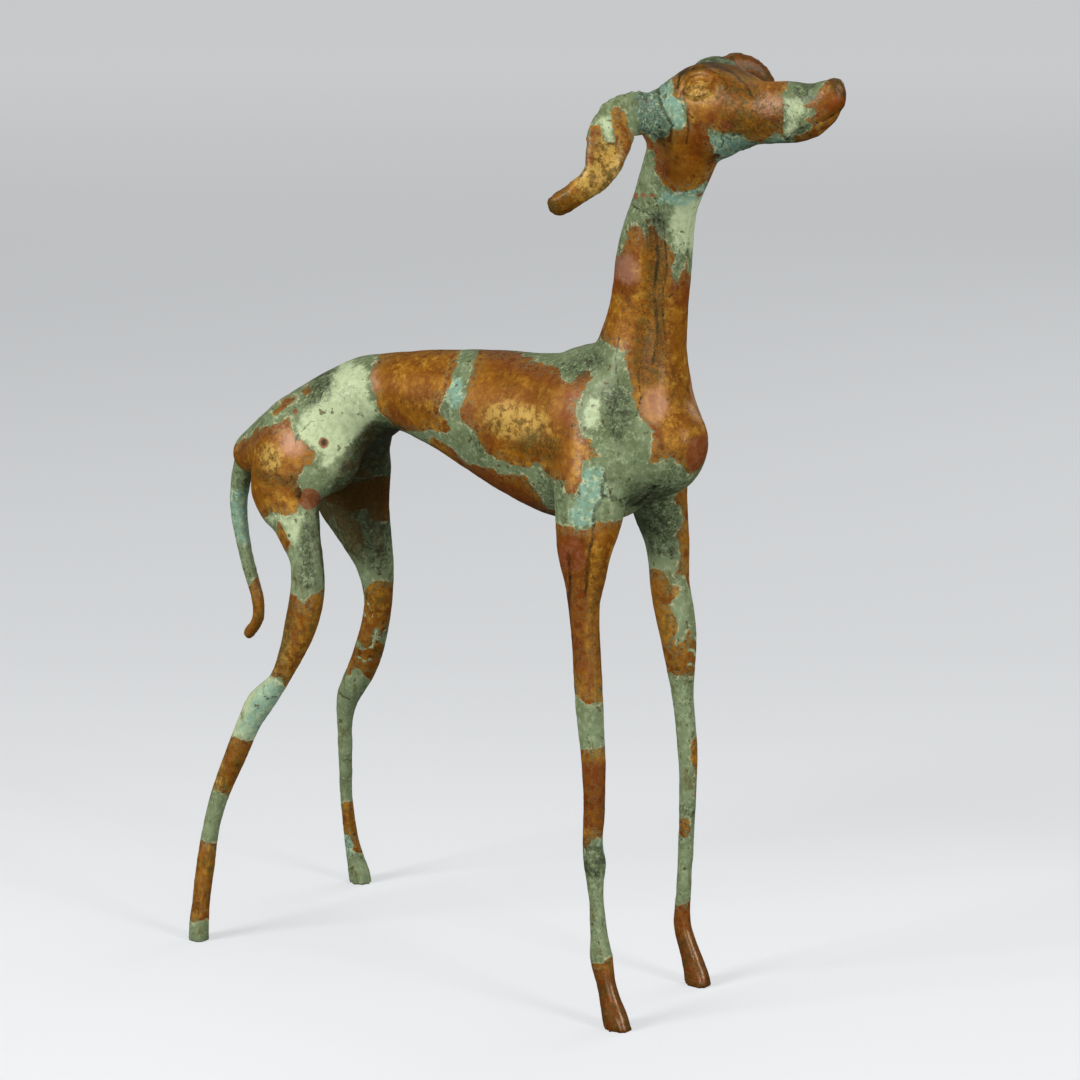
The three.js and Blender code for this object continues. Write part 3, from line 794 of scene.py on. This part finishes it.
    # brown patches in that painted shade and on the nose pad
    shadeAndNoseBrown = finish.drawn("shadeAndNosePad") * finish.clamped(middle, 0.42, 0.56)
    tone = finish.blend(shadeAndNoseBrown * 0.7, tone, patinaLook["brown"])
    hollow = finish.clamped(finish.drawn("hollow"), 0.10, 0.9)
    tone = finish.blend(hollow * 0.6, tone, patinaLook["blackGreen"])
    crackDistance = finish.drawn("crack") + (small - 0.5) * 2.0 + (crawl - 0.5) * 2.0
    crack = finish.clamped(crackDistance, 1.1, 0.4) * (0.4 + 0.55 * finish.clamped(crawl, 0.42, 0.56))
    tone = finish.blend(crack, tone, ink)

    # wax: smoother on the ochre and the polished paws
    polish = finish.drawn("polish")
    rough = 0.54 - 0.07 * ochre + (small - 0.5) * 0.25 + 0.10 * pale * (1 - ochre) - 0.14 * polish
    height = small * 0.5 + grain * 0.25 + middle * 0.6 + ochre * 0.25 - specks * 0.2
    bump = finish.node("ShaderNodeBump", None, {"Strength": 0.4, "Distance": 0.0012, "Height": height})
    finish.surface(Base_Color=tone, Roughness=rough, Metallic=0.04 + 0.12 * ochre, Normal=bump, IOR=1.45)
    finish.surface(Coat_Weight=0.05 + 0.14 * polish, Coat_Roughness=0.18)
    finish.surface(Specular_IOR_Level=0.3, Specular_Tint=(1.0, 0.84, 0.60))
    return finish.owner


bronzeMesh.materials.clear()
bronzeMesh.materials.append(waxedPatina())
for polygon in bronzeMesh.polygons:
    polygon.use_smooth = True
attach(greyhound, "root")
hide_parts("greyhound")
print("bronze finished")

# studio

studioLook = {
    "floorTone": (0.30, 0.305, 0.31),
    "floorGlow": 0.53,  # painted light: the floor glows, which evens it out towards the horizon
    "glowNear": (0.97, 0.985, 1.0),
    "glowMiddle": (0.70, 0.72, 0.74),  # the painted glow is a little weaker behind the figure, so the floor is darker there
    "skyTone": (0.97, 0.985, 1.0),
    "skyAbove": 0.15,
    "skyBelow": 0.05,
    "floorSize": 120.0,
    "softboxes": [  # name, place, aim, width and height in metres, watts
        ("leftSoftbox", (-1.7, -3.5, 2.3), (0, 0, 0.5), (1.5, 1.9), 180),
        ("rightSoftbox", (4.2, -0.5, 1.7), (0, 0, 0.5), (1.2, 2.0), 125),
        ("topSoftbox", (-0.2, 0.8, 4.6), (0, 0, 0.4), (2.6, 2.6), 45),
        ("lowSoftbox", (2.9, -3.4, 0.7), (0.1, 0, 0.5), (1.6, 1.2), 52),
        ("backSoftbox", (0.4, 4.2, 2.4), (0, 0, 0.5), (2.4, 1.6), 45),
    ],
}


def plainFloor():
    half = studioLook["floorSize"] / 2
    mesh = bpy.data.meshes.new("studioFloor")
    corners = [(-half, -half, 0), (half, -half, 0), (half, half, 0), (-half, half, 0)]
    mesh.from_pydata(corners, [], [(0, 1, 2, 3)])
    floor = bpy.data.objects.new("studioFloor", mesh)
    bpy.context.scene.collection.objects.link(floor)
    finish = Finish(bpy.data.materials.new("paleFloor"))
    place = finish.node("ShaderNodeTexCoord", output="Object")
    cloud = finish.noise(place, 1.6, 2, 0.55)
    dimmer = tuple(v * 0.97 for v in studioLook["floorTone"])
    finish.surface(Base_Color=finish.blend(cloud, dimmer, studioLook["floorTone"]), Roughness=0.9)
    # painted light: the floor's glow, weaker behind the figure
    away = finish.axis(place, 1) * math.cos(turn) - finish.axis(place, 0) * math.sin(turn)
    middle = finish.clamped(away, -0.4, 1.4) * finish.clamped(away, 9.0, 3.0)
    finish.surface(Emission_Color=finish.blend(middle, studioLook["glowNear"], studioLook["glowMiddle"]))
    finish.surface(Emission_Strength=studioLook["floorGlow"])
    mesh.materials.append(finish.owner)
    floor.visible_diffuse = floor.visible_glossy = False  # little light comes up from it


def studioSky():  # bright above, dark below
    world = bpy.data.worlds.new("paleStudio")
    bpy.context.scene.world = world
    sky = Finish(world, "ShaderNodeBackground", "ShaderNodeOutputWorld")
    up = sky.axis(sky.node("ShaderNodeTexCoord", output="Generated"), 2)
    rise = studioLook["skyAbove"] - studioLook["skyBelow"]
    glow = studioLook["skyBelow"] + rise * sky.clamped(up, -0.15, 0.35)
    sky.surface(Color=studioLook["skyTone"], Strength=glow)


def softbox(name, place, aim, size, power):
    lamp = bpy.data.lights.new(name, "AREA")
    lamp.shape, lamp.size, lamp.size_y = "RECTANGLE", size[0], size[1]
    lamp.energy = power
    made = bpy.data.objects.new(name, lamp)
    bpy.context.scene.collection.objects.link(made)
    made.location = place
    away = np.array(place) - np.array(aim)
    tip = math.atan2(math.hypot(away[0], away[1]), away[2])
    made.rotation_euler = (tip, 0, math.atan2(away[0], -away[1]))


plainFloor()
studioSky()
for values in studioLook["softboxes"]:
    softbox(*values)
print("studio lit")

# camera, at the photograph's place

cameraLook = {
    "place": (2.07793, -2.71718, 1.2231),
    "tilt": 76.944,  # degrees from straight down
    "turn": 37.0,
    "lens": 123.333,
}
bpy.context.scene.view_settings.view_transform = "Standard"
lens = bpy.data.cameras.new("quarterCamera")
lens.lens, lens.sensor_width = cameraLook["lens"], 36
camera = bpy.data.objects.new("quarterCamera", lens)
bpy.context.scene.collection.objects.link(camera)
camera.location = cameraLook["place"]
camera.rotation_euler = (math.radians(cameraLook["tilt"]), 0, math.radians(cameraLook["turn"]))
bpy.context.scene.camera = camera
